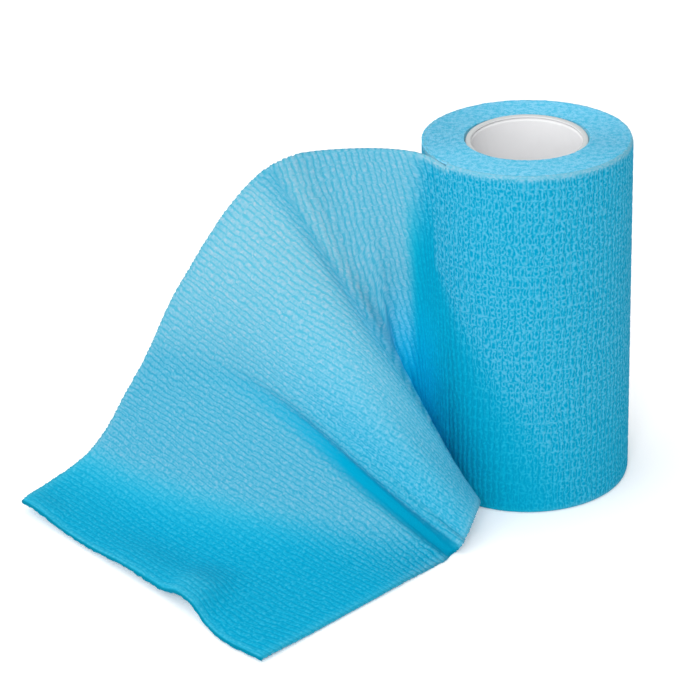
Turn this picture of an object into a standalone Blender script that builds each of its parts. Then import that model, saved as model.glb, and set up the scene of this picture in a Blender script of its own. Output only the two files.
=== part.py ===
"""A roll of cohesive crepe bandage, standing on end with its loose end drawn off and laid on the table.

The bandage is one strip. Most of it is wound on a plain white core and is one solid here, and the loose end is
a sheet that leaves the outer turn, twists over and comes down in front of the roll.
"""

import math

import bmesh
import bpy
import numpy as np

MM = 0.001

# Driving sizes
STRIP_WIDTH = 100 * MM
ROLL_RADIUS = 28.6 * MM  # at the line where the outer turn leaves
TURN_STEP = 1.0 * MM  # how much lower the next turn lies there
CORE_RADIUS = 16.5 * MM
CORE_WALL = 1.5 * MM
CLOTH_THICKNESS = 1.0 * MM
GAP = 0.3 * MM  # between pieces that touch
WELD = 0.01 * MM

# Place of the roll's axis, so that the origin is under the middle of the whole piece
ROLL_AXIS = (56.0 * MM, 38.3 * MM)

# Crepe ribs, which run across the strip
ROLL_RIBS = 84
RIB_PITCH = 2.0 * MM
RIB_RISE = 0.2 * MM
PEEL_ANGLE = math.radians(222)  # where the outer turn leaves the roll
RIM_ROUNDS = ((0.0, 1.8 * MM), (0.6 * MM, 0.6 * MM), (2.2 * MM, 0.0))  # height over the end, and how far in

# The loose end, one row for each section across the strip, in mm from the foot of the roll's axis:
# (distance from the roll, foot, a third of the way up, two thirds, head)
SECTIONS = (
    (0, (-21.7, -18.8, 0.8), (-21.7, -18.8, 33), (-21.7, -18.8, 67), (-21.7, -18.8, 100)),
    (11, (-27.2, -12.6, 0.8), (-27.3, -12.4, 33.5), (-27.4, -12.2, 67), (-27.7, -11.8, 100)),
    (23, (-32.6, -11.2, 0.8), (-33.2, -9.4, 34), (-35.2, -8.9, 67), (-38.0, -7.9, 100)),
    (35, (-30.0, -19.0, 1.5), (-35.5, -14.5, 34), (-40.3, -10.2, 66), (-49.5, -8.0, 100)),
    (46, (-21.0, -27.5, 5), (-30.8, -21.8, 33.5), (-43.8, -12.0, 61.5), (-60.0, -10.7, 99.8)),
    (54, (-15.5, -32.5, 7.5), (-29.0, -27.5, 34.5), (-47.8, -15.0, 63.5), (-67.5, -14.0, 97.5)),
    (65, (-13.0, -36.0, 8.5), (-32.5, -31.5, 37), (-53.0, -19.0, 65), (-75.0, -12.8, 91)),
    (78, (-13.0, -39.5, 8.5), (-36.0, -35.0, 36), (-59.0, -23.0, 61), (-83.5, -12.5, 80)),
    (91, (-14.0, -43.5, 7.5), (-38.5, -38.0, 33), (-64.0, -25.0, 53.5), (-91.2, -12.3, 67.5)),
    (104, (-16.0, -48.0, 4.5), (-42.0, -39.5, 27), (-69.5, -25.0, 45.5), (-98.3, -12.0, 55)),
    (117, (-20.0, -52.7, 0.8), (-46.5, -40.0, 17.5), (-75.0, -24.0, 35.5), (-104.3, -11.5, 42)),
    (133, (-30.6, -64.6, 0.8), (-56.0, -46.0, 5.5), (-84.0, -27.0, 19), (-112.6, -8.5, 26.3)),
    (146, (-39.3, -74.4, 0.8), (-64.5, -54.0, 2), (-91.5, -31.0, 8.5), (-118.0, -7.0, 16)),
    (158, (-47.3, -83.3, 0.8), (-72.5, -61.5, 0.8), (-99.5, -36.0, 3), (-125.0, -8.2, 7)),
    (172, (-56.6, -93.8, 0.8), (-82.0, -70.0, 0.8), (-107.5, -44.0, 1.2), (-133.7, -16.0, 3)),
    (186, (-66.3, -104.7, 0.8), (-90.5, -78.5, 0.8), (-115.5, -53.5, 1.2), (-140.3, -28.3, 2)),
)

# Creases on it: (from, to, rise, half width), each end as (distance from the roll, up from the foot edge), in mm
FOLDS = (
    ((112, 0), (109, 58), 1.6, 3.0),  # lip that hangs over the valley
    ((118, 0), (115, 66), -2.4, 2.6),  # valley from the front corner
    ((187, 37), (164, 40), 2.6, 6.0),  # wave at the cut end
    ((187, 92), (176, 94), 0.8, 7.0),  # lifted far corner
)
CLOTH_LOW, CLOTH_HIGH = 0.55, 99.6  # mm, lowest and highest that the middle of the cloth goes
ROWS_PER_RIB = 2
COLUMNS = 10
FLAT_NEAR_ROOT = 5.0  # mm without ribs beside the roll
GATHERED, DRAWN_OUT = 0.4, 0.8  # share of the laid length at which the ribs fade out, and stand full

# Finish
CLOTH_BLUE = (0.028, 0.407, 0.637, 1.0)
CORE_WHITE = (0.80, 0.80, 0.82, 1.0)


def clear_scene():
    for item in list(bpy.data.objects):
        bpy.data.objects.remove(item)


def new_material(name, colour, roughness):
    material = bpy.data.materials.new(name)
    material.use_nodes = True
    shader = material.node_tree.nodes["Principled BSDF"]
    shader.inputs["Base Color"].default_value = colour
    shader.inputs["Roughness"].default_value = roughness
    shader.inputs["Metallic"].default_value = 0.0
    return material


def place(name, mesh, collection, material):
    """Adds the mesh to the part, standing on the table at the roll's axis."""
    mesh.materials.append(material)
    item = bpy.data.objects.new(name, mesh)
    item.location = (*ROLL_AXIS, 0.0)
    collection.objects.link(item)
    return item


def grid_faces(mesh, rings):
    """Quads between each row of points and the next."""
    for ring, following in zip(rings, rings[1:]):
        for i in range(len(ring) - 1):
            mesh.faces.new((ring[i], ring[i + 1], following[i + 1], following[i]))


def turn_radius(angle, inset):
    """Outer turn at an angle past the line where it leaves: it winds inwards, and stands up at each rib."""
    past = angle / math.tau
    rib = RIB_RISE * math.cos(angle * ROLL_RIBS) if inset == 0.0 else 0.0
    return ROLL_RADIUS - TURN_STEP * past - inset + rib


def wound_profiles():
    """The roll's wall as upright profiles, one for each step round it, from the bore's foot up to the bore's head."""
    bore = CORE_RADIUS + GAP
    steps = ROLL_RIBS * 2
    for i in range(steps + 1):
        angle = math.tau * i / steps
        wall = [(turn_radius(angle, inset), height) for height, inset in RIM_ROUNDS]
        wall += [(radius, STRIP_WIDTH - height) for radius, height in reversed(wall)]
        outline = [(bore, 0.0), *wall, (bore, STRIP_WIDTH)]
        turn = PEEL_ANGLE + angle
        yield [(r * math.cos(turn), r * math.sin(turn), z) for r, z in outline]


def build_wound_roll(collection, material):
    """All turns as one ring, whose outer wall has the step that the loose end leaves from."""
    mesh = bmesh.new()
    profiles = [[mesh.verts.new(point) for point in profile] for profile in wound_profiles()]
    grid_faces(mesh, [profile + profile[:1] for profile in profiles])
    bmesh.ops.remove_doubles(mesh, verts=profiles[0] + profiles[-1], dist=WELD)
    step = [edge for edge in mesh.edges if edge.is_boundary]
    bmesh.ops.holes_fill(mesh, edges=step, sides=0)
    bmesh.ops.recalc_face_normals(mesh, faces=mesh.faces)
    data = bpy.data.meshes.new("wound_roll")
    mesh.to_mesh(data)
    mesh.free()
    return place("wound_roll", data, collection, material)


def build_core(collection, material):
    """A plain tube, turned from the section of its wall."""
    inner, outer = CORE_RADIUS - CORE_WALL, CORE_RADIUS
    corners = ((inner, STRIP_WIDTH), (outer, STRIP_WIDTH), (outer, 0.0), (inner, 0.0))
    mesh = bmesh.new()
    ring = [mesh.verts.new((radius, 0.0, height)) for radius, height in corners]
    for start, end in zip(ring, ring[1:] + ring[:1]):
        mesh.edges.new((start, end))
    data = bpy.data.meshes.new("core")
    mesh.to_mesh(data)
    mesh.free()
    core = place("core", data, collection, material)
    turned = core.modifiers.new("turned", "SCREW")
    turned.steps = turned.render_steps = 64
    turned.use_merge_vertices = True
    turned.merge_threshold = WELD
    return core


def spline(knots, values, at):
    """Natural cubic through values at the knots, read at other places along them."""
    knots, values, at = (np.asarray(item, float) for item in (knots, values, at))
    count, step = len(knots), np.diff(knots)
    slopes = np.diff(values, axis=0) / step.reshape((-1,) + (1,) * (values.ndim - 1))
    system, right = np.eye(count), np.zeros_like(values)
    for i in range(1, count - 1):
        system[i, i - 1 : i + 2] = step[i - 1], 2 * (step[i - 1] + step[i]), step[i]
        right[i] = 6 * (slopes[i] - slopes[i - 1])
    bend = np.linalg.solve(system, right.reshape(count, -1)).reshape(values.shape)
    i = np.clip(np.searchsorted(knots, at, side="right") - 1, 0, count - 2)
    shape = (-1,) + (1,) * (values.ndim - 1)
    width = step[i].reshape(shape)
    low, high = (knots[i + 1] - at).reshape(shape) / width, (at - knots[i]).reshape(shape) / width
    curve = (low**3 - low) * bend[i] + (high**3 - high) * bend[i + 1]
    return low * values[i] + high * values[i + 1] + curve * width**2 / 6


def fold_height(along, up):
    """How far the creases lift the cloth at places on the flat strip, in mm."""
    height = np.zeros(np.broadcast(along, up).shape)
    for (along_0, up_0), (along_1, up_1), rise, half_width in FOLDS:
        run = np.array((along_1 - along_0, up_1 - up_0), float)
        length = np.hypot(*run)
        run /= length
        on = (along - along_0) * run[0] + (up - up_0) * run[1]
        off = (along - along_0) * run[1] - (up - up_0) * run[0]
        fade = np.clip(1.5 * (1 - on / length), 0, 1)
        height += rise * np.exp(-((off / half_width) ** 2)) * fade * fade * (3 - 2 * fade)
    return height


def loose_end_surface():
    """Middle surface of the loose end as rows of points, in mm from the foot of the roll's axis."""
    knots = [row[0] for row in SECTIONS]
    rib_count = round(knots[-1] * MM / RIB_PITCH)
    along = np.linspace(0, knots[-1], rib_count * ROWS_PER_RIB + 1)
    thirds = spline(knots, [row[1:] for row in SECTIONS], along)
    share = np.linspace(0, 1, COLUMNS + 1)
    surface = spline((0, 1 / 3, 2 / 3, 1), thirds.transpose(1, 0, 2), share).transpose(1, 0, 2)
    run, rise = np.gradient(surface, axis=0), np.gradient(surface, axis=1)
    front = np.cross(rise, run)
    front /= np.linalg.norm(front, axis=2, keepdims=True)
    laid = along[1] - along[0]
    drawn = np.linalg.norm(run, axis=2) / laid
    stand = np.clip((drawn - GATHERED) / (DRAWN_OUT - GATHERED), 0, 1)
    stand *= np.clip(along[:, None] / FLAT_NEAR_ROOT - 1, 0, 1)
    ribs = np.cos(np.arange(len(along)) * math.tau / ROWS_PER_RIB)[:, None] * stand * RIB_RISE / MM
    lift = fold_height(along[:, None], share[None, :] * STRIP_WIDTH / MM) + ribs
    surface = surface + front * lift[..., None]
    surface[..., 2] = np.clip(surface[..., 2], CLOTH_LOW, CLOTH_HIGH)
    return surface


def build_loose_end(collection, material):
    mesh = bmesh.new()
    rows = [[mesh.verts.new(point * MM) for point in row] for row in loose_end_surface()]
    grid_faces(mesh, rows)
    bmesh.ops.recalc_face_normals(mesh, faces=mesh.faces)
    data = bpy.data.meshes.new("loose_end")
    mesh.to_mesh(data)
    mesh.free()
    sheet = place("loose_end", data, collection, material)
    thick = sheet.modifiers.new("thickness", "SOLIDIFY")
    thick.thickness = CLOTH_THICKNESS
    thick.offset = 0.0
    return sheet


def main():
    clear_scene()
    collection = bpy.data.collections.new("bandage_roll")
    bpy.context.scene.collection.children.link(collection)
    cloth = new_material("crepe_cloth", CLOTH_BLUE, 0.9)
    build_wound_roll(collection, cloth)
    build_loose_end(collection, cloth)
    build_core(collection, new_material("core_white", CORE_WHITE, 0.4))


main()
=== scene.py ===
"""Looks of a roll of cohesive crepe bandage that stands on end, its loose end drawn off and laid out.

Run as a script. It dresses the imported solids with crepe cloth, layered turn edges and a plain tube, and
sets a pale studio round them.
"""

import math
from types import SimpleNamespace

import bmesh
import bpy
import numpy as np
from bpy.props import FloatProperty, FloatVectorProperty, IntProperty, PointerProperty
from mathutils import Matrix, Vector


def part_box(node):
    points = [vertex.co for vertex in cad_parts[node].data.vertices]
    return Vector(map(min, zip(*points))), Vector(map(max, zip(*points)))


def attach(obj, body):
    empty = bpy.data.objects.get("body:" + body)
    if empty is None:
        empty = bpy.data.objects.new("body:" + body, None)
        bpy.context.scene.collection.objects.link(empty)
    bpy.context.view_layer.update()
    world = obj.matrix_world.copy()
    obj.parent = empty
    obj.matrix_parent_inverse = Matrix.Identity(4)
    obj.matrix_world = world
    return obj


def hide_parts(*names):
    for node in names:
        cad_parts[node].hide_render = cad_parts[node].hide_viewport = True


bl_info = {
    "name": "Cohesive bandage roll",
    "version": (1, 0, 0),
    "blender": (4, 5, 0),
    "location": "View3D > Sidebar > Bandage",
    "description": "Builds a wound crepe bandage with its loose end laid out",
    "category": "Add Mesh",
}

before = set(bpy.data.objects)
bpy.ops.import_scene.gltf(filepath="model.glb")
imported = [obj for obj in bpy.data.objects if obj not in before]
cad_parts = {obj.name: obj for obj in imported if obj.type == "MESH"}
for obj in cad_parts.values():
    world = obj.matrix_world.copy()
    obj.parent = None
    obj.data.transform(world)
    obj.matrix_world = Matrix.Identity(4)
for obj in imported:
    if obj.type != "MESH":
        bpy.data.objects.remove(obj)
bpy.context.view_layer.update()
CORE_LOW, CORE_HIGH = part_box("core")
STRIP_WIDTH = CORE_HIGH.z - CORE_LOW.z
CORE_RADIUS = (CORE_HIGH.x - CORE_LOW.x) / 2
ROLL_AXIS = Vector(((CORE_LOW.x + CORE_HIGH.x) / 2, (CORE_LOW.y + CORE_HIGH.y) / 2, 0.0))

MM = 0.001
BODY = "root"
PEEL_ANGLE = math.radians(222)  # where the outer turn leaves the roll

# The loose end, one row for each section across the strip, in mm from the foot of the roll's axis:
# (distance from the roll, foot, a third of the way up, two thirds, head)
SECTIONS = (
    (11, (-27.2, -12.6, 0.8), (-27.3, -12.4, 33.5), (-27.4, -12.2, 67), (-27.7, -11.8, 100)),
    (23, (-32.6, -11.2, 0.8), (-33.2, -9.4, 34), (-35.2, -8.9, 67), (-38.0, -7.9, 100)),
    (35, (-30.0, -19.0, 1.5), (-35.5, -14.5, 34), (-40.3, -10.2, 66), (-49.5, -8.0, 100)),
    (46, (-21.0, -27.5, 5), (-30.8, -21.8, 33.5), (-43.8, -12.0, 61.5), (-60.0, -10.7, 99.8)),
    (54, (-15.5, -32.5, 7.5), (-29.0, -27.5, 34.5), (-47.8, -15.0, 63.5), (-67.5, -14.0, 97.5)),
    (65, (-13.0, -36.0, 8.5), (-32.5, -31.5, 37), (-53.0, -19.0, 65), (-75.0, -12.8, 91)),
    (78, (-13.0, -39.5, 8.5), (-36.0, -35.0, 36), (-59.0, -23.0, 61), (-83.5, -12.5, 80)),
    (91, (-14.0, -43.5, 7.5), (-38.5, -38.0, 33), (-64.0, -25.0, 53.5), (-91.2, -12.3, 67.5)),
    (104, (-16.0, -48.0, 4.5), (-42.0, -39.5, 27), (-69.5, -25.0, 45.5), (-98.3, -12.0, 55)),
    (117, (-20.0, -52.7, 0.8), (-46.5, -40.0, 17.5), (-75.0, -24.0, 35.5), (-104.3, -11.5, 42)),
    (133, (-30.6, -64.6, 0.8), (-56.0, -46.0, 5.5), (-84.0, -27.0, 19), (-112.6, -8.5, 26.3)),
    (146, (-39.3, -74.4, 0.8), (-64.5, -54.0, 2), (-91.5, -31.0, 8.5), (-118.0, -7.0, 16)),
    (158, (-47.3, -83.3, 0.8), (-72.5, -61.5, 0.8), (-99.5, -36.0, 3), (-125.0, -8.2, 7)),
    (172, (-56.6, -93.8, 0.8), (-82.0, -70.0, 0.8), (-107.5, -44.0, 1.2), (-133.7, -16.0, 3)),
    (186, (-66.3, -104.7, 0.8), (-90.5, -78.5, 0.8), (-115.5, -53.5, 1.2), (-140.3, -28.3, 2)),
)
LAP = (-9.0, -4.5, 0.0)  # mm, sections where the loose end still lies in the outer turn

# Creases on it, in mm: (from, to, rise, half width), each end as (from the roll, up the strip)
VALLEY = ((115.4, 0), (117.0, 88), -2.2, 3.0)  # from the front corner
HOLLOW = ((54.5, 106), (60.0, 30), -0.5, 4.0)  # where the front is drawn away from the wall
FOLDS = (
    ((110.5, 0), (111, 72), 1.3, 2.6),  # lip that hangs over the valley
    VALLEY,
    HOLLOW,
    ((188, 30), (160, 40), 3.0, 6.5),  # wave at the cut end
    ((188, 50), (162, 54), 1.3, 15.0),  # cut end lifted beside it
    ((187, 92), (176, 94), 0.8, 7.0),  # lifted far corner
)
FOLD_START, FOLD_END = 50, 58  # mm from the roll, between which the wall turns into the front
ROWS, COLUMNS = 520, 86  # points along and across the loose end

# Ribs on the wall beside the roll: mm from the roll where they stand up, and mm of lean per mm of height
WALL_START, WALL_LEAN = 11.0, 0.24
# Ribs on the front, in mm: place along the strip, then what a rib counts as at foot, 1/3, 2/3 and head
FRONT_RIBS = (
    (46, 73.7, 71.9, 61.5, 50.5),
    (64, 87.7, 85.3, 74.0, 67.0),
    (78, 95.7, 94.6, 83.3, 81.2),
    (90, 103.8, 99.4, 92.0, 94.2),
    (102, 110.3, 105.4, 101.6, 108.4),
    (112, 116.4, 114.1, 110.3, 119.5),
    (120, 124.2, 124.6, 118.8, 129.0),
    (128, 131.7, 134.8, 130.9, 135.9),
    (138, 143.5, 145.9, 144.5, 145.9),
    (152, 159.4, 159.7, 159.4, 158.7),
    (190, 196.9, 194.5, 195.0, 194.8),
)
GATHERED, DRAWN_OUT = 0.3, 0.9  # share of the laid length at which the ribs fade out, and stand full
END_RISE, END_DROP = 0.9, 0.8  # mm that the cut end stands off the table, and within which it comes down
SIDE_FRAY, END_FRAY = 0.14, 0.4  # how far the side edges and the cut end wander, in steps of their grids
LEDGE = 0.02 * MM  # gap that keeps the cloth off the table
RIM_RELIEF = 0.65  # share of the ribs' height that is left near the roll's ends
FAR_SIDE_SHARE = 0.25  # what the far side of the loose end has of the near side's painted light and painted shade
ROLL_STEPS, CORE_STEPS = 600, 128  # round the axis

# Sizes of the cloth's unevenness, in bumps per metre
FIBRES, CUT_FIBRES, TURN_WOBBLE, LOOP_BEND, CLOUD, GRAIN = 1900.0, 2400.0, 900.0, 820.0, 700.0, 1250.0
LOOP_SQUARENESS = 2.6  # 2 is a round loop, more is squarer
THREAD_WIDTH = 0.14  # share of the distance between two threads over which the ribs give way to one

# The studio, in metres from the foot of the roll's axis
CAMERA_PLACE = Vector((0.0, -0.653, 0.355))
CAMERA_YAW, CAMERA_PITCH, CAMERA_ROLL = (math.radians(angle) for angle in (4.33, 25.96, -1.92))
KEY_PLACE, KEY_AIM, KEY_SIZE = Vector((-0.12, -0.95, 0.6)), Vector((-0.03, -0.02, 0.04)), 0.3
BRIGHT_SIDE = (-0.72, -0.4, 0.6)  # direction from which the sky is strongest
FLOOR_REACH = 3.0


def length(name, description, default, low=0.0):
    """Size that a user may change."""
    return FloatProperty(
        name=name, description=description, default=default, min=low, precision=5, unit="LENGTH"
    )


def tint(name, description, red, green, blue):
    """Colour that a user may change."""
    default = (red, green, blue, 1.0)
    return FloatVectorProperty(name=name, description=description, subtype="COLOR", size=4, default=default)


class StripSizes(bpy.types.PropertyGroup):
    """Sizes of the crepe strip."""

    rib_pitch: length("Rib pitch", "Distance from one rib to the next along the strip", 1.75 * MM, 0.5 * MM)
    thread_pitch: length(
        "Thread pitch", "Distance between the elastic threads that run along the strip", 3.1 * MM, 1.0 * MM
    )
    rib_rise: length("Rib rise", "Height of a rib over the groove beside it", 0.42 * MM)
    thickness: length("Thickness", "Thickness of the cloth between its ribs", 0.55 * MM, 0.1 * MM)


class RollSizes(bpy.types.PropertyGroup):
    """Sizes of the wound roll and of its tube."""

    radius: length("Radius", "Outer radius at the line where the loose end leaves", 28.6 * MM)
    turn_step: length("Turn step", "How much lower the next turn lies at that line", 0.5 * MM)
    rim_height: length("Rim height", "Height of the rounding at each end", 1.5 * MM)
    rim_inset: length("Rim inset", "How far in the rounding reaches at each end", 0.6 * MM)
    turn_pitch: length("Turn pitch", "Distance between the turns that show at the ends", 0.38 * MM, 0.2 * MM)
    core_wall: length("Core wall", "Wall of the tube that the strip is wound on", 1.5 * MM)
    core_recess: length("Core recess", "How far the tube's near rim drops below the turns", 1.7 * MM)
    seed: IntProperty(name="Seed", description="Seed of the unevenness of the turns", default=7)


class BandageColours(bpy.types.PropertyGroup):
    """Colours of the cloth and the tube."""

    groove: tint("Groove", "Cloth between the ribs, where turns lie on each other", 0.0, 0.248, 0.415)
    crest: tint("Crest", "Cloth on the ribs, where turns lie on each other", 0.068, 0.362, 0.535)
    pale_groove: tint("Pale groove", "Single cloth between the ribs", 0.085, 0.385, 0.51)
    pale_crest: tint("Pale crest", "Single cloth on the ribs, drawn out thin", 0.235, 0.44, 0.545)
    # Pale specks, partly where the single cloth is thinnest and partly painted highlight on the crests.
    blush_highlight: tint("Blush", "Specks where the single cloth is thinnest", 0.36, 0.46, 0.54)
    # Painted shade: creases, the cut end's underside and sheltered cloth are mixed towards this colour.
    crease: tint("Crease", "Cloth in a sharp crease", 0.0, 0.292, 0.462)
    core: tint("Core", "Plain tube", 0.81, 0.81, 0.82)


class StudioSettings(bpy.types.PropertyGroup):
    """Camera and light."""

    lens: FloatProperty(name="Lens", description="Focal length of the camera in mm", default=133.7)
    sky: FloatProperty(name="Sky", description="Strength of the soft white light from all round", default=0.8)
    sky_lean: FloatProperty(
        name="Sky lean", description="How much stronger it is from the upper left", default=0.9, max=1.0
    )
    floor_glow: FloatProperty(
        name="Floor glow", description="Light of the floor itself, as a lit table has", default=0.14, min=0.0
    )
    key_power: FloatProperty(
        name="Key light", description="Power of the soft light in front", default=3.6, unit="POWER"
    )


# Node trees


class NodeNet:
    """Adds nodes to a tree. Each call returns what the next line needs."""

    def __init__(self, tree):
        self.tree = tree

    def node(self, kind, inputs=None, **settings):
        made = self.tree.nodes.new(kind)
        for name, value in settings.items():
            setattr(made, name, value)
        for key, value in (inputs or {}).items():
            if isinstance(value, bpy.types.NodeSocket):
                self.tree.links.new(value, made.inputs[key])
            else:
                made.inputs[key].default_value = value
        return made

    def math(self, operation, *values):
        return self.node("ShaderNodeMath", dict(enumerate(values)), operation=operation).outputs[0]

    def times(self, first, second):
        return self.math("MULTIPLY", first, second)

    def ease(self, value, low, high, start=0.0, end=1.0):
        """Smooth step from start to end as value goes from low to high."""
        places = {"Value": value, "From Min": low, "From Max": high, "To Min": start, "To Max": end}
        return self.node("ShaderNodeMapRange", places, interpolation_type="SMOOTHSTEP").outputs[0]

    def blend(self, share, start, end):
        """Number between start and end."""
        inputs = {"Value": share, "To Min": start, "To Max": end}
        return self.node("ShaderNodeMapRange", inputs).outputs[0]

    def vector(self, x, y, z):
        return self.node("ShaderNodeCombineXYZ", {0: x, 1: y, 2: z}).outputs[0]

    def split(self, vector):
        return self.node("ShaderNodeSeparateXYZ", {0: vector}).outputs

    def vector_math(self, operation, first, second):
        """Vector from two others, or from one and a scale."""
        other = "Scale" if operation == "SCALE" else 1
        return self.node("ShaderNodeVectorMath", {0: first, other: second}, operation=operation).outputs[0]

    def noise(self, place, scale=1.0, detail=0.0, colour=False):
        """Smooth noise, 0 to 1: one value, or three as a colour."""
        inputs = {"Vector": place, "Scale": scale, "Detail": detail}
        made = self.node("ShaderNodeTexNoise", inputs, noise_dimensions="3D")
        return made.outputs["Color" if colour else 0]

    def sway(self, value, chance, amount):
        """Value moved up or down by chance, which is 0 to 1."""
        return self.math("MULTIPLY_ADD", self.math("SUBTRACT", chance, 0.5), amount, value)


def crepe_pattern(net, strip, mark, rib_pitch, thread_pitch):
    """Where the ribs run: phase across them, their height, and how free of a thread the place is.

    The last two are 0 to 1. The same nodes shape the cloth and colour it. Ribs run across the strip. Where
    mark is 1 they are gathered, as on the roll, and where it is 0 the cloth is drawn out.
    """
    place = net.split(strip)
    along = net.math("DIVIDE", place[0], rib_pitch)
    up = net.math("DIVIDE", place[1], thread_pitch)
    across = net.math("FRACT", up)
    row = net.math("ADD", net.math("FLOOR", up), net.ease(across, 0.84, 1.0))
    phase = along
    # Ribs drift, jog at each thread and bow between threads: (bumps for each rib, height, bumps for each row,
    # layer of the noise, how many ribs it moves them by where mark is 0, and where 1)
    for by_rib, height, by_row, layer, drawn, gathered in (
        (0.1, up, 0.13, 0.7, 0.9, 1.1),
        (0.4, row, 1.37, 4.1, 1.0, 0.9),
        (0.6, up, 1.6, 7.3, 0.5, 0.3),
    ):
        at = net.vector(net.times(along, by_rib), net.times(height, by_row), layer)
        phase = net.sway(phase, net.noise(at), net.blend(mark, drawn, gathered))
    wave = net.math("COSINE", net.times(phase, math.tau))
    rib = net.math("MULTIPLY_ADD", wave, 0.5, 0.5)
    past, ahead = net.ease(across, 0.0, THREAD_WIDTH), net.ease(across, 1.0, 1.0 - THREAD_WIDTH)
    free = net.times(past, ahead)
    return phase, rib, free


def chance_for(net, column, row, by_column, by_row, layer, **noise):
    """Chance of a cell, the same all over it."""
    at = net.vector(net.times(column, by_column), net.times(row, by_row), layer)
    return net.noise(at, **noise)


def crepe_loops(net, strip, phase, up):
    """Tone of gathered crepe: each rib makes a small ring, bow or arch in each row, no two quite alike.

    Some rings fill the row between two threads, others stand two on each other.
    """
    column = net.math("FLOOR", net.math("ADD", phase, 0.5))
    pair = chance_for(net, column, net.math("FLOOR", up), 0.37, 0.41, 5.9)
    up = net.times(up, net.math("ADD", net.math("GREATER_THAN", pair, 0.52), 1.0))
    row = net.math("FLOOR", up)
    chance = net.split(chance_for(net, column, row, 0.73, 0.91, 17.3, scale=2.0, colour=True))
    bend = net.split(net.noise(strip, scale=LOOP_BEND, colour=True))
    side = net.sway(net.math("SUBTRACT", phase, column), bend[0], 0.3)
    middle = net.ease(chance[0], 0.3, 0.7, 0.3, 0.7)
    rise = net.sway(net.math("SUBTRACT", net.math("FRACT", up), middle), bend[1], 0.3)
    half_width = net.ease(chance[1], 0.3, 0.7, 0.26, 0.36)
    wide = net.math("ABSOLUTE", net.math("DIVIDE", side, half_width))
    high = net.math("ABSOLUTE", net.math("DIVIDE", rise, 0.5))
    squares = (net.math("POWER", size, LOOP_SQUARENESS) for size in (wide, high))
    out = net.math("POWER", net.math("ADD", *squares), 1 / LOOP_SQUARENESS)
    ring = net.ease(net.math("ABSOLUTE", net.math("SUBTRACT", out, 1.0)), 0.38, 0.04)
    hollow = net.times(net.ease(out, 0.75, 0.35), net.ease(chance[2], 0.7, 0.5, 0.35, 1.0))
    dark = net.math("MAXIMUM", hollow, net.ease(out, 1.25, 1.6, 0.0, 0.6))
    return net.math("MULTIPLY_ADD", dark, -0.62, net.math("MULTIPLY_ADD", ring, 0.34, 0.54))


def new_tree(name, sizes):
    """Geometry tree with inputs for a mesh, for these sizes and for a finish, and what builds it."""
    tree = bpy.data.node_groups.new(name, "GeometryNodeTree")
    tree.interface.new_socket("Geometry", in_out="INPUT", socket_type="NodeSocketGeometry")
    for label, default in sizes.items():
        socket = tree.interface.new_socket(label, in_out="INPUT", socket_type="NodeSocketFloat")
        socket.default_value = default
    tree.interface.new_socket("Material", in_out="INPUT", socket_type="NodeSocketMaterial")
    tree.interface.new_socket("Geometry", in_out="OUTPUT", socket_type="NodeSocketGeometry")
    net = NodeNet(tree)
    return tree, net, net.node("NodeGroupInput").outputs


def close_tree(net, geometry, material):
    """Ends a tree: instances made real, and the finish set."""
    real = net.node("GeometryNodeRealizeInstances", {"Geometry": geometry}).outputs[0]
    finished = net.node("GeometryNodeSetMaterial", {"Geometry": real, "Material": material}).outputs[0]
    net.node("NodeGroupOutput", {0: finished})


def named(net, name, kind="FLOAT"):
    """A value stored on the mesh, read in a geometry tree."""
    return net.node("GeometryNodeInputNamedAttribute", {"Name": name}, data_type=kind).outputs[0]


def crepe_tree():
    """Raises the ribs on cloth that carries strip, relief and mark, and keeps it between two heights."""
    sizes = {"Rib Pitch": 1.75 * MM, "Thread Pitch": 3.1 * MM, "Rib Rise": 0.4 * MM, "Low": 0.0, "High": 0.1}
    tree, net, given = new_tree("crepe ribs", sizes)
    strip = named(net, "strip", "FLOAT_VECTOR")
    mark = named(net, "mark")
    _, rib, free = crepe_pattern(net, strip, mark, given["Rib Pitch"], given["Thread Pitch"])
    held = net.math("MAXIMUM", mark, 0.6)  # how far a thread brings a rib to half its height
    held = net.times(net.math("SUBTRACT", 1.0, free), held)
    height = net.math("SUBTRACT", net.blend(held, rib, 0.5), 0.5)
    height = net.times(height, given["Rib Rise"])
    height = net.times(height, named(net, "relief"))
    normal = net.node("GeometryNodeInputNormal").outputs[0]
    lift = net.vector_math("SCALE", normal, height)
    raised = net.node("GeometryNodeSetPosition", {"Geometry": given["Geometry"], "Offset": lift}).outputs[0]
    place = net.split(net.node("GeometryNodeInputPosition").outputs[0])
    kept = net.math("MINIMUM", net.math("MAXIMUM", place[2], given["Low"]), given["High"])
    position = net.vector(place[0], place[1], kept)
    level = net.node("GeometryNodeSetPosition", {"Geometry": raised, "Position": position}).outputs[0]
    close_tree(net, level, given["Material"])
    return tree


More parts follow.
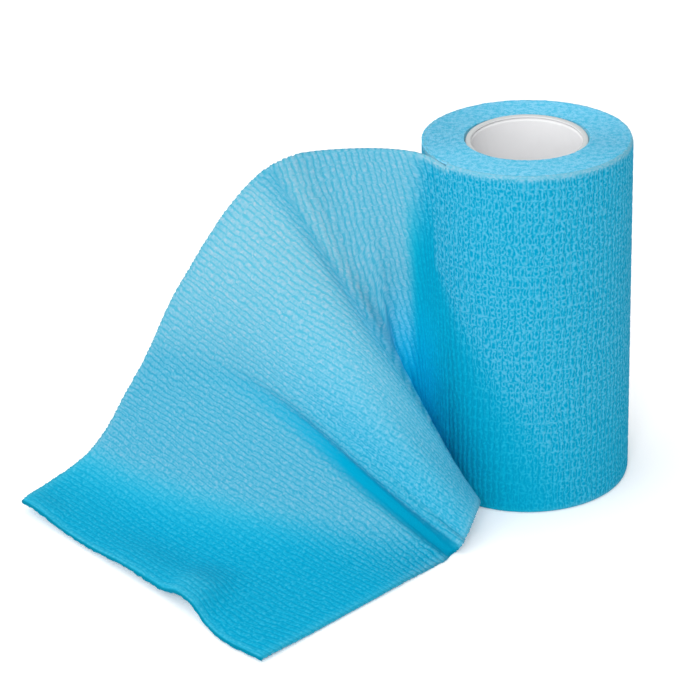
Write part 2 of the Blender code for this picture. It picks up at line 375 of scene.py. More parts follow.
def turn_edges_tree():
    """The edges of all turns at one end of the roll: one long spiral, uneven as crepe is."""
    sizes = {
        "Outer Radius": 26.0 * MM,
        "Inner Radius": 17.0 * MM,
        "Turn Pitch": 0.38 * MM,
        "Height": 0.1,
        "Unevenness": 0.3 * MM,
        "Seed": 0.0,
    }
    tree, net, given = new_tree("turn edges", sizes)
    width = net.math("SUBTRACT", given["Outer Radius"], given["Inner Radius"])
    turns = net.math("DIVIDE", width, given["Turn Pitch"])
    spiral_inputs = {
        "Resolution": 210,
        "Rotations": turns,
        "Start Radius": given["Outer Radius"],
        "End Radius": given["Inner Radius"],
        "Height": 0.0,
    }
    spiral = net.node("GeometryNodeCurveSpiral", spiral_inputs).outputs[0]
    turned = {
        "Geometry": spiral,
        "Translation": net.vector(ROLL_AXIS.x, ROLL_AXIS.y, given["Height"]),
        "Rotation": (0.0, 0.0, PEEL_ANGLE),
    }
    placed = net.node("GeometryNodeTransform", turned).outputs[0]
    position = net.node("GeometryNodeInputPosition").outputs[0]
    noise_at = net.vector_math("ADD", position, net.vector(0.0, 0.0, given["Seed"]))
    noise = net.noise(noise_at, scale=TURN_WOBBLE, detail=2.0, colour=True)
    wobble = net.vector_math("SUBTRACT", noise, (0.5, 0.5, 0.5))
    wobble = net.vector_math("SCALE", wobble, given["Unevenness"])
    uneven = net.node("GeometryNodeSetPosition", {"Geometry": placed, "Offset": wobble}).outputs[0]
    edge_inputs = {"Resolution": 5, "Radius": net.times(given["Turn Pitch"], 0.62)}
    edge = net.node("GeometryNodeCurvePrimitiveCircle", edge_inputs).outputs[0]
    sweep = {"Curve": uneven, "Profile Curve": edge, "Fill Caps": True}
    swept = net.node("GeometryNodeCurveToMesh", sweep).outputs[0]
    smooth = net.node("GeometryNodeSetShadeSmooth", {"Geometry": swept}).outputs[0]
    close_tree(net, smooth, given["Material"])
    return tree


# Meshes


def spline(knots, values, at):
    """Natural cubic through values at the knots, read at other places along them."""
    knots, values, at = (np.asarray(item, float) for item in (knots, values, at))
    count, step = len(knots), np.diff(knots)
    slopes = np.diff(values, axis=0) / step.reshape((-1,) + (1,) * (values.ndim - 1))
    system, right = np.eye(count), np.zeros_like(values)
    for i in range(1, count - 1):
        system[i, i - 1 : i + 2] = step[i - 1], 2 * (step[i - 1] + step[i]), step[i]
        right[i] = 6 * (slopes[i] - slopes[i - 1])
    bend = np.linalg.solve(system, right.reshape(count, -1)).reshape(values.shape)
    i = np.clip(np.searchsorted(knots, at, side="right") - 1, 0, count - 2)
    shape = (-1,) + (1,) * (values.ndim - 1)
    width = step[i].reshape(shape)
    low, high = (knots[i + 1] - at).reshape(shape) / width, (at - knots[i]).reshape(shape) / width
    curve = (low**3 - low) * bend[i] + (high**3 - high) * bend[i + 1]
    return low * values[i] + high * values[i + 1] + curve * width**2 / 6


def ease(value, low, high):
    """Smooth step from 0 at low to 1 at high."""
    share = np.clip((np.asarray(value, float) - low) / (high - low), 0, 1)
    return share * share * (3 - 2 * share)


def hump(value, middle, half_width):
    """Smooth hump, 1 at its middle."""
    return np.exp(-(((value - middle) / half_width) ** 2))


def blend(start, end, share):
    """Value at share of the way from start to end."""
    return start + (end - start) * share


def crease_mask(along, up, crease):
    """Where a crease runs on the flat strip, 0 to 1. It fades towards its far end."""
    (along_0, up_0), (along_1, up_1), _, half_width = crease
    run = np.array((along_1 - along_0, up_1 - up_0), float)
    span = np.hypot(*run)
    run /= span
    on = (along - along_0) * run[0] + (up - up_0) * run[1]
    off = (along - along_0) * run[1] - (up - up_0) * run[0]
    return np.exp(-np.abs(off / half_width) ** 3) * ease(1.5 * (1 - on / span), 0, 1)


def grid_quads(rows, columns, closed=False):
    """Quads of a grid numbered row by row. A closed one joins its last column to its first."""
    index = np.arange(rows * columns).reshape(rows, columns)
    if closed:
        index = np.hstack([index, index[:, :1]])
    quads = np.stack([index[:-1, :-1], index[:-1, 1:], index[1:, 1:], index[1:, :-1]], axis=-1)
    return quads.reshape(-1, 4)


def new_piece(name, points, quads, marks=None):
    """Mesh object at the origin, from points in metres, with its marks: values for each point."""
    mesh = bpy.data.meshes.new(name)
    mesh.from_pydata(points.reshape(-1, 3).tolist(), [], quads.tolist())
    for label, values in (marks or {}).items():
        is_vector = values.ndim == points.ndim
        layer = mesh.attributes.new(label, "FLOAT_VECTOR" if is_vector else "FLOAT", "POINT")
        layer.data.foreach_set("vector" if is_vector else "value", values.astype(np.float32).ravel())
    piece = bpy.data.objects.new(name, mesh)
    bpy.context.scene.collection.objects.link(piece)
    return piece


def face_outward(piece):
    """Merges what coincides and turns all faces of a closed mesh out."""
    mesh = bmesh.new()
    mesh.from_mesh(piece.data)
    bmesh.ops.remove_doubles(mesh, verts=mesh.verts, dist=0.001 * MM)
    bmesh.ops.recalc_face_normals(mesh, faces=mesh.faces)
    mesh.to_mesh(piece.data)
    mesh.free()


def keep_shape(piece):
    """Turns the piece with its modifiers into a plain mesh."""
    graph = bpy.context.evaluated_depsgraph_get()
    made = bpy.data.meshes.new_from_object(piece.evaluated_get(graph), depsgraph=graph)
    piece.modifiers.clear()
    piece.data = made
    made.shade_smooth()


def apply_tree(piece, tree, values):
    """Runs a geometry tree on the piece with these inputs, and keeps the result as a plain mesh."""
    modifier = piece.modifiers.new(tree.name, "NODES")
    modifier.node_group = tree
    for socket in tree.interface.items_tree:
        if socket.item_type == "SOCKET" and socket.in_out == "INPUT" and socket.name in values:
            modifier[socket.identifier] = values[socket.name]
    keep_shape(piece)


def raise_ribs(piece, strip, low, high):
    """Works the crepe's ribs into the piece, between these heights, and gives it its cloth."""
    values = {
        "Rib Pitch": strip.rib_pitch,
        "Thread Pitch": strip.thread_pitch,
        "Rib Rise": strip.rib_rise,
        "Low": low,
        "High": high,
        "Material": finish_named("crepe_web", crepe_cloth),
    }
    apply_tree(piece, crepe_tree(), values)


def dress(piece, material_slot, *nodes):
    """Puts the piece on the model in place of these nodes."""
    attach(piece, BODY)
    if nodes:
        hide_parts(*nodes)


# Finishes


def principled(name, roughness, sheen=0.0):
    """New material, with its shader and the net of its nodes."""
    material = bpy.data.materials.new(name)
    material.use_nodes = True
    shader = material.node_tree.nodes["Principled BSDF"]
    shader.inputs["Roughness"].default_value = roughness
    shader.inputs["Specular IOR Level"].default_value = 0.02
    shader.inputs["Sheen Weight"].default_value = sheen
    shader.inputs["Sheen Roughness"].default_value = 0.5
    return material, shader, NodeNet(material.node_tree)


def coat(net, shader, colour, height, strength, depth):
    """Gives a shader its colour, and a bump that is depth metres deep."""
    bump = net.node("ShaderNodeBump", {"Height": height, "Strength": strength, "Distance": depth})
    net.tree.links.new(colour, shader.inputs["Base Color"])
    net.tree.links.new(bump.outputs[0], shader.inputs["Normal"])


def stored(net, name):
    """A value stored on the mesh, read in a shader."""
    return net.node("ShaderNodeAttribute", attribute_name=name).outputs


def mixed(net, share, start, end):
    """Colour between two others."""
    inputs = {"Factor": share, 6: start, 7: end}
    return net.node("ShaderNodeMix", inputs, data_type="RGBA").outputs[2]


def ramped(net, tone, *colours):
    """Colour picked from evenly spaced ones."""
    ramp = net.node("ShaderNodeValToRGB", {"Fac": tone})
    stops = ramp.color_ramp.elements
    for _ in colours[2:]:
        stops.new(0.5)
    for index, colour in enumerate(colours):
        stops[index].position = index / (len(colours) - 1)
        stops[index].color = colour
    return ramp.outputs[0]


def between(start, end, share):
    """Colour at share of the way from start to end."""
    return tuple(low + (high - low) * share for low, high in zip(start, end))


def crepe_tone(net, strip, mark, sizes):
    """How light each place of the crepe is from its ribs, loops and fibres, and the patches of its web."""
    relief = stored(net, "relief")["Fac"]
    phase, rib, free = crepe_pattern(net, strip, mark, sizes.rib_pitch, sizes.thread_pitch)
    rows = net.math("DIVIDE", net.split(strip)[1], sizes.thread_pitch)
    loops = crepe_loops(net, strip, phase, rows)
    fibres = net.noise(strip, scale=FIBRES, detail=3.0)
    cloud = net.noise(strip, scale=CLOUD, detail=2.0)
    groove = net.times(net.ease(rib, 0.45, 0.0), net.ease(cloud, 0.36, 0.6, 0.25, 1.0))
    groove = net.times(groove, net.blend(free, 0.3, 1.0))
    drawn = net.math("MULTIPLY_ADD", rib, 0.3, net.math("MULTIPLY_ADD", groove, -0.9, 0.45))
    drawn = net.times(drawn, net.blend(free, 0.8, 1.0))
    thread = net.math("SUBTRACT", 1.0, free)
    thread = net.times(thread, net.ease(cloud, 0.4, 0.6, 0.15, 0.85))
    loops = net.blend(thread, net.sway(loops, rib, 0.16), 0.85)
    cell = net.blend(mark, drawn, loops)
    cell = net.blend(net.ease(relief, 0.0, 0.2), 0.6, cell)
    grain = net.math("SUBTRACT", net.noise(strip, scale=GRAIN), 0.5)
    tone = net.math("ADD", net.times(grain, net.blend(mark, 0.9, 1.1)), cell)
    tone = net.sway(net.sway(tone, fibres, 1.2), cloud, 0.6)
    return tone, fibres, cloud


def crepe_cloth():
    """Crepe web: saturated between the ribs, paler on them, with fine fibres, and specks where drawn out that
    are partly thin cloth and partly painted highlight.

    It reads from each point how far the cloth is single and pale, partly painted light, how much painted
    shade it has in shelter and in creases, and how much painted light brightens it or painted shade darkens
    it.
    """
    sizes, colours = bpy.context.scene.bandage_strip, bpy.context.scene.bandage_colours
    material, shader, net = principled("crepe_web", roughness=0.9, sheen=0.01)
    strip = stored(net, "strip")["Vector"]
    names = ("mark", "pale_and_painted_light", "painted_shade", "crease", "painted_lighting")
    mark, pale_and_painted_light, painted_shade, crease, painted_lighting = (stored(net, name)["Fac"] for name in names)
    tone, fibres, cloud = crepe_tone(net, strip, mark, sizes)
    # Painted shade darkens the tone.
    shaded = net.math("MULTIPLY_ADD", painted_shade, -0.25, tone)
    half_way = between(colours.groove, colours.crest, 0.5)
    half_way = (0.22 * colours.crest[0], *half_way[1:])
    deep_colour = ramped(net, shaded, tuple(colours.groove), half_way, tuple(colours.crest))
    thin_colour = mixed(net, tone, tuple(colours.pale_groove), tuple(colours.pale_crest))
    # Blush: pale specks on the crests, partly thin cloth and partly painted highlight.
    blush_highlight = net.times(net.ease(tone, 0.5, 1.0), net.ease(cloud, 0.5, 0.68, 0.0, 0.6))
    thin_colour = mixed(net, blush_highlight, thin_colour, tuple(colours.blush_highlight))
    # Paler where the cloth is single and thin, and where light is painted.
    colour = mixed(net, pale_and_painted_light, deep_colour, thin_colour)
    # Painted shade in creases, under the cut end and in shelter mixes the colour towards the crease colour.
    folded = net.math("MULTIPLY_ADD", painted_shade, 0.3, crease)
    colour = mixed(net, folded, colour, tuple(colours.crease))
    # Painted shade takes the red out.
    less_red = net.vector(net.math("MULTIPLY_ADD", painted_shade, -0.95, 1.0), 1.0, 1.0)
    colour = net.vector_math("MULTIPLY", colour, less_red)
    # Painted light brightens the colour, and painted shade darkens it where the mark is below 0.
    colour = net.vector_math("SCALE", colour, net.math("MULTIPLY_ADD", painted_lighting, 0.4, 1.0))
    coat(net, shader, colour, net.math("MULTIPLY_ADD", fibres, 0.5, tone), 0.25, 0.12 * MM)
    return material


def turn_edge_cloth():
    """Cut edges of many turns: pale, fuzzy and mottled."""
    colours = bpy.context.scene.bandage_colours
    material, shader, net = principled("crepe_edges", roughness=0.95, sheen=0.03)
    place = net.node("ShaderNodeTexCoord").outputs["Object"]
    fibres = net.noise(place, scale=CUT_FIBRES, detail=3.0)
    mottle = net.noise(place, scale=CLOUD, detail=2.0)
    tone = net.math("ADD", net.times(fibres, 0.5), net.times(mottle, 0.5))
    tone = net.ease(tone, 0.36, 0.62)
    ends = ((colours.groove, colours.pale_groove), (colours.crest, colours.pale_crest))
    middle, light = (tuple(0.67 * (wound + single) for wound, single in zip(*pair)) for pair in ends)
    coat(net, shader, mixed(net, tone, middle, light), fibres, 0.5, 0.15 * MM)
    return material


def core_plastic():
    """Plain white tube with a faint moulded unevenness, greyer where it is cut to length."""
    colours = bpy.context.scene.bandage_colours
    material, shader, net = principled("tube_plastic", roughness=0.45)
    place = net.node("ShaderNodeTexCoord").outputs["Object"]
    grain = net.noise(place, scale=260.0, detail=3.0)
    darker = (*(channel * 0.95 for channel in colours.core[:3]), 1.0)
    wall = mixed(net, grain, darker, tuple(colours.core))
    fine = net.noise(place, scale=1500.0, detail=2.0)
    rough_cut = mixed(net, fine, (0.46, 0.48, 0.48, 1.0), (0.56, 0.58, 0.58, 1.0))
    colour = mixed(net, stored(net, "cut")["Fac"], wall, rough_cut)
    coat(net, shader, colour, grain, 0.08, 0.2 * MM)
    return material


def finish_named(name, make):
    """The material of that name, made on first use."""
    return bpy.data.materials.get(name) or make()


# Wound roll


def roll_profile(radius, sizes):
    """Section of the wound ring, as (radius, height): out over the head, down, in and up the bore."""
    bore = CORE_RADIUS + 0.2 * MM
    inset, rise = sizes.rim_inset, sizes.rim_height
    end = STRIP_WIDTH - 0.6 * MM
    crest = STRIP_WIDTH - 0.15 * MM
    head = [(blend(bore, radius - inset - 0.7 * MM, i / 7), end) for i in range(8)]
    for turn in np.linspace(0, math.pi / 2, 8):
        head.append((radius - inset * (1 - math.sin(turn)), crest - rise * (1 - math.cos(turn))))
    steps = round((STRIP_WIDTH - 2 * rise) / (0.85 * MM))
    heights = np.linspace(crest - rise, STRIP_WIDTH - crest + rise, steps + 1)[1:-1]
    wall = [(radius, height) for height in heights]
    foot = [(r, STRIP_WIDTH - z) for r, z in reversed(head)]
    inside = [(bore, end + (STRIP_WIDTH - 2 * end) * i / 5) for i in range(4, 0, -1)]
    return np.array(head + wall + foot + inside)


def shelter_shade(since, height):
    """Painted shade where the cloth lies in the shelter of the loose end, 0 to 1.

    It goes by degrees from where that leaves, and by mm up.
    """
    low = 54 - np.minimum(height, 70)
    return (1 - ease(since, 0.75 * low - 2, 1.7 * low + 18)) * (1 - ease(height, 70, 92))


def wound_roll_mesh(sizes):
    """Closed ring of all turns, with what the crepe tree and the cloth read."""
    angles = np.linspace(0, math.tau, ROLL_STEPS + 1)
    before = 360 - np.degrees(angles)
    drawn_off = 0.6 * MM * ease(before, 0, 5) * hump(before, 13, 10)
    radii = sizes.radius - sizes.turn_step * angles / math.tau + drawn_off
    profiles = np.array([roll_profile(radius, sizes) for radius in radii])
    angles = angles[:, None]
    turn = PEEL_ANGLE + angles
    radius, height = profiles[..., 0], profiles[..., 1]
    points = np.stack([radius * np.cos(turn), radius * np.sin(turn), height], axis=-1)
    inward = np.clip(radius.max(axis=1, keepdims=True) - radius, 0, None)
    near_end = np.minimum(height, STRIP_WIDTH - height) / MM
    head = height > STRIP_WIDTH / 2
    up = np.where(head, height + inward, height - inward)
    along = -angles * (sizes.radius - sizes.turn_step / 2) + 0 * height
    # Painted shade: the roll darker towards its foot.
    foot_shade = 0.3 * (1 - ease(height / MM, 4, 40))
    marks = {
        "strip": np.stack([along, up, 0 * up], axis=-1),
        "relief": RIM_RELIEF * ease(near_end, 0.4, 2.2),
        "mark": np.ones_like(up),
        "pale_and_painted_light": np.where(head, 0.8, 0.4) * (1 - ease(near_end, 0.5, 2.2)),
        # Painted shade beside the loose end and towards the foot.
        "painted_shade": np.maximum(shelter_shade(np.degrees(angles), height / MM), foot_shade),
        "crease": 0 * up,
        "painted_lighting": 0 * up,
    }
    rows, columns = radius.shape
    quads = grid_quads(rows, columns, closed=True)
    step = np.arange(columns)
    last = (rows - 1) * columns
    joint = np.stack([last + step, last + np.roll(step, -1), np.roll(step, -1), step], axis=-1)
    return points + np.array(ROLL_AXIS), np.vstack([quads, joint]), marks


class BANDAGE_OT_wound_roll(bpy.types.Operator):
    """Winds the strip on its core: crepe ribs on the outer turn, the edges of all turns at both ends"""

    bl_idname = "bandage.wound_roll"
    bl_label = "Wound roll"

    def execute(self, context):
        sizes, strip = context.scene.bandage_roll, context.scene.bandage_strip
        roll = new_piece("crepe_roll", *wound_roll_mesh(sizes))
        face_outward(roll)
        raise_ribs(roll, strip, LEDGE, STRIP_WIDTH)
        dress(roll, "crepe_cloth", "wound_roll")
        self.lay_turn_edges(sizes)
        return {"FINISHED"}

    def lay_turn_edges(self, sizes):
        """A spiral of edges on each end of the roll."""
        tree = turn_edges_tree()
        depth = 0.38 * MM
        for end, height in (("head", STRIP_WIDTH - depth), ("foot", depth)):
            edges = new_piece(f"turn_edges_{end}", np.zeros((0, 3)), np.zeros((0, 4), int))
            values = {
                "Outer Radius": sizes.radius - sizes.rim_inset + 0.12 * MM,
                "Inner Radius": CORE_RADIUS + 0.45 * MM,
                "Turn Pitch": sizes.turn_pitch,
                "Height": height,
                "Unevenness": 0.35 * MM,
                "Seed": float(sizes.seed),
                "Material": finish_named("crepe_edges", turn_edge_cloth),
            }
            apply_tree(edges, tree, values)
            dress(edges, "crepe_cloth")


# Loose end. Places on it are in mm: away from the roll, up across the strip, and height over the table.


def lap_section(along, sizes, strip):
    """Section of the loose end where it still lies in the outer turn."""
    sunk = ease(-along, 0, 8)
    radius = (sizes.radius - strip.thickness / 2) / MM - 0.45 * sunk
    turn = PEEL_ANGLE - along / radius
    x, y = radius * math.cos(turn), radius * math.sin(turn)
    drop = 0.6 + 1.5 * sunk
    return [(x, y, z) for z in (drop, 33, 67, STRIP_WIDTH / MM - drop - 0.4)]


def loose_end_surface(sizes, strip):
    """Middle surface of the loose end, as rows of points from the foot of the roll's axis, and its places.

    The places are away and up, and then how far the ribs are drawn out, where 1 is their laid length.
    """
    sections = [*((along, *lap_section(along, sizes, strip)) for along in LAP), *SECTIONS]
    knots = [row[0] for row in sections]
    along = np.linspace(knots[0], knots[-1], ROWS)
    share = np.linspace(0, 1, COLUMNS)
    thirds = spline(knots, [row[1:] for row in sections], along)
    surface = spline((0, 1 / 3, 2 / 3, 1), thirds.transpose(1, 0, 2), share).transpose(1, 0, 2)
    run, rise = np.gradient(surface, axis=0), np.gradient(surface, axis=1)
    front = np.cross(rise, run)
    front /= np.linalg.norm(front, axis=2, keepdims=True)
    step = np.linalg.norm(run, axis=2)
    up = share[None, :] * STRIP_WIDTH / MM + 0 * along[:, None]
    away = along[:, None] + 0 * up
    lift = sum(fold[2] * crease_mask(away, up, fold) for fold in FOLDS)
    longer = 2.0 * ease(away, 150, 186) * hump(up, 13, 10)
    raised = END_RISE * ease(away, 168, 183) * ease(away.max() - away, 0, END_DROP)
    raised *= 0.45 + 0.55 * hump(up, 44, 16)
    raised += 0.6 * ease(away, 170, 186) * ease(up, 86, 100)
    surface = surface + front * lift[..., None] + run / step[..., None] * longer[..., None]
    surface[..., 2] += raised
    return surface, away, up, step / (along[1] - along[0])


def fray(surface, generator):
    """Moves the strip's edges a little in and out, as cut crepe does."""
    for edge, inner in ((0, 1), (-1, -2)):
        side = generator.uniform(-SIDE_FRAY, SIDE_FRAY, ROWS)
        surface[:, edge] += (surface[:, edge] - surface[:, inner]) * side[:, None]
    cut = generator.uniform(-END_FRAY, END_FRAY, COLUMNS)
    surface[-1] += (surface[-1] - surface[-2]) * cut[:, None]


def rib_places(surface, away, up):
    """Place of each point along the strip, for the ribs.

    On the front they follow FRONT_RIBS, and on the wall beside the roll they stand side by side and lean.
    """
    knots = [row[0] for row in FRONT_RIBS]
    thirds = spline(knots, [row[1:] for row in FRONT_RIBS], np.clip(away[:, 0], knots[0], knots[-1]))
    front = spline((0, 1 / 3, 2 / 3, 1), thirds.T, up[0] * MM / STRIP_WIDTH).T
    (along_0, up_0), (along_1, up_1), _, _ = HOLLOW
    fold = along_0 + (along_1 - along_0) * (up - up_0) / (up_1 - up_0)
    side = -surface[..., 0]
    start = side[np.abs(away[:, 0] - WALL_START).argmin()][None, :]
    lean = WALL_LEAN * (75 - surface[..., 2]) * ease(away, 0, 18)
    wall = np.where(away < WALL_START, away, WALL_START + (side - start) / 0.97) + lean
    return np.where(away < fold, wall, front)


def loose_end_zones(surface, away, up):
    """Parts of the loose end that get their own relief, paleness, painted light or painted shade: how far
    each point belongs to them, 0 to 1.
    """
    ragged = 0.45 * np.sin(2.03 * up + 1.9 * np.sin(0.31 * up)) + 0.25 * np.sin(5.1 * up + 2.0)
    valley = crease_mask(away + ragged * (away < VALLEY[0][0]), up, VALLEY)
    on_wall = 1 - ease(away, FOLD_START, FOLD_END)
    to_end = away.max() - away
    return SimpleNamespace(
        valley=valley,
        valley_foot=valley * (1 - ease(up, 8, 50)),
        hollow=crease_mask(away, up, (*HOLLOW[:3], 2.0)),
        round_hollow=crease_mask(away, up, (*HOLLOW[:3], 4.5)) * (1 - ease(up, 46, 76)),
        past_hollow=crease_mask(away - 2.0, up, (*HOLLOW[:3], 4.5)),
        near_roll=shelter_shade(-2 * away, up) * (1 - ease(away, 14, 20) * ease(up, 30, 50)) * on_wall,
        low_wall=on_wall * (1 - ease(up, 28, 66)),
        lobe=ease(away, 50, 66) * (1 - ease(away, 106, 112)) * (1 - ease(up, 40, 80)),
        beside_valley=ease(away, 88, 106) * (1 - ease(up, 38, 62)) * (away < 116),
        on_table=ease(away, 124, 146) * (1 - ease(surface[..., 2], 3, 12)),
        under=np.maximum(1.0 * (to_end < 0.6 * END_DROP), 0.3 * (up < 0.1) * (away > 112)),
        rim=np.minimum(np.minimum(up, STRIP_WIDTH / MM - up), to_end),  # mm from the nearest edge
    )


def rib_height(away, up, drawn, zones):
    """Share of the ribs' full height that the loose end has."""
    relief = np.clip((drawn - GATHERED) / (DRAWN_OUT - GATHERED), 0.55, 1)
    relief *= (1 - 0.75 * zones.valley) * (1 - 0.5 * zones.hollow)
    relief *= 1 - 0.5 * (1 - ease(zones.rim, 0, 2.5))
    relief *= (0.6 - 0.3 * ease(away, 120, 148)) * (1 - 0.6 * zones.lobe)
    as_on_roll = RIM_RELIEF * ease(STRIP_WIDTH / MM - up, 0.4, 2.2)
    return blend(relief, as_on_roll, 1 - ease(away, 2, 16))


def paleness(height, away, up, zones):
    """How pale the loose end is: partly the single cloth drawn out thin and its fuzzy edges, partly painted
    light, most where it faces up and stands high over the table, with painted shade beside the hollow and the
    valley.
    """
    # Painted light: the wall paler higher up and farther from the roll, the front paler the higher it stands
    # over the table.
    wall = 0.66 * ease(up, 30, 76) * ease(away + 0.1 * (up - 50), 12, 22)
    pale_and_painted_light = blend(wall, 0.2 + 0.8 * ease(height, 8, 82), ease(away, 44, 54))
    pale_and_painted_light *= 1 - 0.5 * ease(away, 50, 54) * (1 - ease(away, 56, 70)) * (1 - ease(up, 40, 70))
    # Painted light on the table: paler the higher the cloth stands off it.
    pale_and_painted_light = blend(pale_and_painted_light, 0.4 * ease(height, 1.2, 9.0), ease(away, 112, 120))
    # Painted shade beside the hollow and the valley.
    pale_and_painted_light *= (1 - 0.4 * zones.past_hollow) * (1 - 0.4 * zones.beside_valley)
    pale_and_painted_light = blend(pale_and_painted_light, 0.6, 0.55 * (1 - ease(zones.rim, 0.4, 3.2)) * ease(away, 6, 20))
    return blend(pale_and_painted_light, 1.0, ease(up, 97.2, 99.2) * (1 - ease(away, 8, 24)))


def glow(away, up, zones):
    """Painted light and shade on the loose end: how much brighter its colour is made where light would pass
    between its folds, and how much darker at the valley's foot and under the cut end.
    """
    wall = 0.2 + 1.3 * ease(away, 0, 10) + 0.5 * np.maximum(ease(away, 16, 22), 1 - ease(up, 12, 36))
    painted_lighting = wall * zones.low_wall + 1.15 * zones.round_hollow + 0.2 * zones.lobe + 0.35 * zones.on_table
    return painted_lighting + 0.3 * zones.valley - 0.4 * zones.valley_foot - 1.3 * zones.under


def loose_end_marks(surface, away, up, drawn):
    """What the crepe tree and the cloth read on the loose end."""
    zones = loose_end_zones(surface, away, up)
    mark = 1.0 - 0.9 * ease(away, 0, 22) + 0.15 * ease(away, 70, 105) + 0.25 * ease(away, 125, 150)
    return {
        "strip": np.stack([rib_places(surface, away, up) * MM, up * MM, 0 * up], axis=-1),
        "relief": rib_height(away, up, drawn, zones),
        "mark": mark + 0.35 * zones.lobe,
        # Partly painted light.
        "pale_and_painted_light": paleness(surface[..., 2], away, up, zones),
        # Painted shade beside the roll, at the valley's foot and where the cloth lies on the table.
        "painted_shade": np.maximum(zones.near_roll, zones.valley_foot) + 0.6 * zones.on_table,
        # Painted shade in the valley, the hollow and under the cut end.
        "crease": np.maximum(np.maximum(zones.valley, 0.2 * zones.hollow), zones.under),
        # Painted light between the folds, painted shade under the cut end and at the valley's foot.
        "painted_lighting": glow(away, up, zones),
    }


def plain_far_side(cloth, away):
    """Takes most of the painted light and painted shade off the side of the sheet that is turned from the
    camera.
    """
    mesh, count = cloth.data, away.size
    normals = np.empty(3 * len(mesh.vertices))
    mesh.vertices.foreach_get("normal", normals)
    by_roll = away.ravel() < 40
    kept = np.ones(len(mesh.vertices))
    for side in (slice(0, count), slice(count, 2 * count)):
        if normals[1::3][side][by_roll].mean() > 0:
            kept[side] = FAR_SIDE_SHARE
    for name in ("painted_lighting", "painted_shade"):
        layer = mesh.attributes[name].data
        values = np.empty(len(layer))
        layer.foreach_get("value", values)
        layer.foreach_set("value", values * kept)


class BANDAGE_OT_loose_end(bpy.types.Operator):
    """Lays out the loose end: off the roll, twisted over and down to the table"""

    bl_idname = "bandage.loose_end"
    bl_label = "Loose end"

    def execute(self, context):
        sizes, strip = context.scene.bandage_roll, context.scene.bandage_strip
        surface, away, up, drawn = loose_end_surface(sizes, strip)
        fray(surface, np.random.default_rng(sizes.seed))
        marks = loose_end_marks(surface, away, up, drawn)
        points = surface * MM + np.array(ROLL_AXIS)
        cloth = new_piece("loose_end_cloth", points, grid_quads(ROWS, COLUMNS), marks)
        half = strip.thickness / 2
        raise_ribs(cloth, strip, half + LEDGE, STRIP_WIDTH - half)
        thick = cloth.modifiers.new("thickness", "SOLIDIFY")
        thick.thickness = strip.thickness
        thick.offset = 0.0
        keep_shape(cloth)
        face_outward(cloth)
        plain_far_side(cloth, away)
        dress(cloth, "crepe_cloth", "loose_end")
        return {"FINISHED"}


# Core


class BANDAGE_OT_core(bpy.types.Operator):
    """Turns the plain tube that the strip is wound on"""

    bl_idname = "bandage.core"
    bl_label = "Core"

    def execute(self, context):
        sizes = context.scene.bandage_roll
        outer, inner = CORE_RADIUS, CORE_RADIUS - sizes.core_wall
        soft = 0.25 * MM
        # Half of the section: up the bore, past a groove and over the lip, as (radius, height from the rim)
        groove = ((0, 14), (0, 1.6), (0, 0.9), (0.35, 0.9), (0.35, 0.6), (0, 0.6))  # mm out and down
        bore = [(inner + out * MM, -down * MM) for out, down in groove] + [(inner, -soft)]
        lip = [
            (inner + 0.3 * soft, -0.3 * soft),
            (inner + soft, 0.0),
            (outer - soft, 0.0),
            (outer - 0.3 * soft, -0.3 * soft),
            (outer, -soft),
        ]
        section = np.array(bore + lip)
        turn = np.linspace(0, math.tau, CORE_STEPS + 1)[:, None]
        near = 0.5 - 0.5 * np.sin(turn)
        head = STRIP_WIDTH - sizes.core_recess * near + section[:, 1]
        foot = 2 * soft - section[::-1, 1] + 0 * turn
        height = np.hstack([head, foot])
        radius = np.hstack([section[:, 0], section[::-1, 0]]) + 0 * turn
        points = np.stack([radius * np.cos(turn), radius * np.sin(turn), height], axis=-1)
        cut = np.array([0.0] * len(bore) + [1.0] * len(lip))
        marks = {"cut": np.hstack([cut, cut[::-1]]) + 0 * turn}
        quads = grid_quads(CORE_STEPS + 1, 2 * len(section), closed=True)
        tube = new_piece("core_tube", points + np.array(ROLL_AXIS), quads, marks)
        face_outward(tube)
        tube.data.shade_smooth()
        tube.data.materials.append(finish_named("tube_plastic", core_plastic))
        dress(tube, "core_white", "core")
        return {"FINISHED"}


# Stage


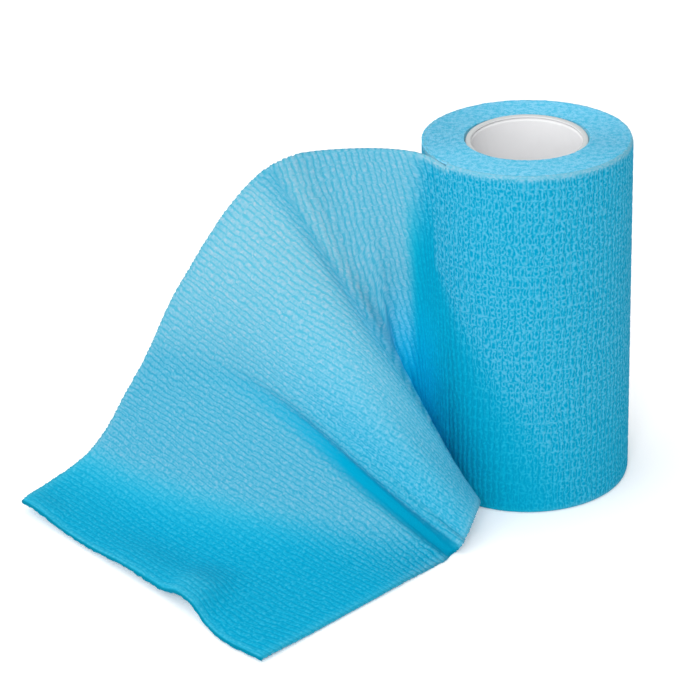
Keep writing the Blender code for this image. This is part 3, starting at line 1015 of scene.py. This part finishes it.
class BANDAGE_OT_stage(bpy.types.Operator):
    """Sets the floor, the light and the camera"""

    bl_idname = "bandage.stage"
    bl_label = "Stage"

    def execute(self, context):
        studio = context.scene.bandage_studio
        self.lay_floor(studio)
        self.light(context.scene, studio)
        self.stand_camera(context.scene, studio)
        return {"FINISHED"}

    def lay_floor(self, studio):
        corners = FLOOR_REACH * np.array([(-1, -1, 0), (1, -1, 0), (1, 1, 0), (-1, 1, 0)], float)
        floor = new_piece("floor", corners, np.array([[0, 1, 2, 3]]))
        material, shader, net = principled("floor_white", roughness=0.9)
        place = net.node("ShaderNodeTexCoord").outputs["Object"]
        grain = net.noise(place, scale=3.0, detail=2.0)
        colour = mixed(net, grain, (0.92, 0.92, 0.92, 1.0), (0.94, 0.94, 0.94, 1.0))
        net.tree.links.new(colour, shader.inputs["Base Color"])
        shader.inputs["Emission Color"].default_value = (1.0, 1.0, 1.0, 1.0)
        shader.inputs["Emission Strength"].default_value = studio.floor_glow
        floor.data.materials.append(material)

    def light(self, scene, studio):
        world = bpy.data.worlds.new("studio")
        world.use_nodes = True
        scene.world = world
        background = world.node_tree.nodes["Background"]
        background.inputs["Color"].default_value = (1.0, 1.0, 1.0, 1.0)
        net = NodeNet(world.node_tree)
        direction = net.node("ShaderNodeTexCoord").outputs["Generated"]
        side = net.node("ShaderNodeVectorMath", {0: direction, 1: BRIGHT_SIDE}, operation="DOT_PRODUCT")
        uneven = studio.sky * studio.sky_lean
        strength = net.math("MULTIPLY_ADD", side.outputs["Value"], uneven, studio.sky)
        net.tree.links.new(strength, background.inputs["Strength"])
        key = bpy.data.lights.new("key", "AREA")
        key.shape = "DISK"
        key.size = KEY_SIZE
        key.energy = studio.key_power
        stand = bpy.data.objects.new("key", key)
        stand.location = ROLL_AXIS + KEY_PLACE
        stand.rotation_euler = (KEY_AIM - KEY_PLACE).to_track_quat("-Z", "Y").to_euler()
        scene.collection.objects.link(stand)
        scene.view_settings.view_transform = "Standard"

    def stand_camera(self, scene, studio):
        level = Vector((math.cos(CAMERA_YAW), math.sin(CAMERA_YAW), 0.0))
        forward = Vector((-level.y, level.x, 0.0))
        ahead = math.cos(CAMERA_PITCH) * forward - math.sin(CAMERA_PITCH) * Vector((0.0, 0.0, 1.0))
        upright = level.cross(ahead)
        right = math.cos(CAMERA_ROLL) * level + math.sin(CAMERA_ROLL) * upright
        above = math.cos(CAMERA_ROLL) * upright - math.sin(CAMERA_ROLL) * level
        lens = bpy.data.cameras.new("camera")
        lens.sensor_width = 36.0
        lens.lens = studio.lens
        lens.clip_end = 20.0
        camera = bpy.data.objects.new("camera", lens)
        turned = Matrix((right, above, -ahead)).transposed().to_4x4()
        camera.matrix_world = Matrix.Translation(ROLL_AXIS + CAMERA_PLACE) @ turned
        scene.collection.objects.link(camera)
        scene.camera = camera


class BANDAGE_PT_panel(bpy.types.Panel):
    """Lists the pieces in the sidebar"""

    bl_idname = "BANDAGE_PT_panel"
    bl_label = "Bandage roll"
    bl_space_type = "VIEW_3D"
    bl_region_type = "UI"
    bl_category = "Bandage"

    def draw(self, context):
        for name in GROUPS:
            group, column = getattr(context.scene, name), self.layout.column(align=True)
            for value in group.__annotations__:
                column.prop(group, value)
        for operator in OPERATORS:
            self.layout.operator(operator.bl_idname)


OPERATORS = (BANDAGE_OT_wound_roll, BANDAGE_OT_loose_end, BANDAGE_OT_core, BANDAGE_OT_stage)
GROUPS = {
    "bandage_strip": StripSizes,
    "bandage_roll": RollSizes,
    "bandage_colours": BandageColours,
    "bandage_studio": StudioSettings,
}


def register():
    for item in (*GROUPS.values(), *OPERATORS, BANDAGE_PT_panel):
        bpy.utils.register_class(item)
    for name, group in GROUPS.items():
        setattr(bpy.types.Scene, name, PointerProperty(type=group))


def unregister():
    for name in GROUPS:
        delattr(bpy.types.Scene, name)
    for item in reversed((*GROUPS.values(), *OPERATORS, BANDAGE_PT_panel)):
        bpy.utils.unregister_class(item)


def main():
    register()
    bpy.ops.bandage.wound_roll()
    bpy.ops.bandage.loose_end()
    bpy.ops.bandage.core()
    bpy.ops.bandage.stage()


if __name__ == "__main__":
    main()
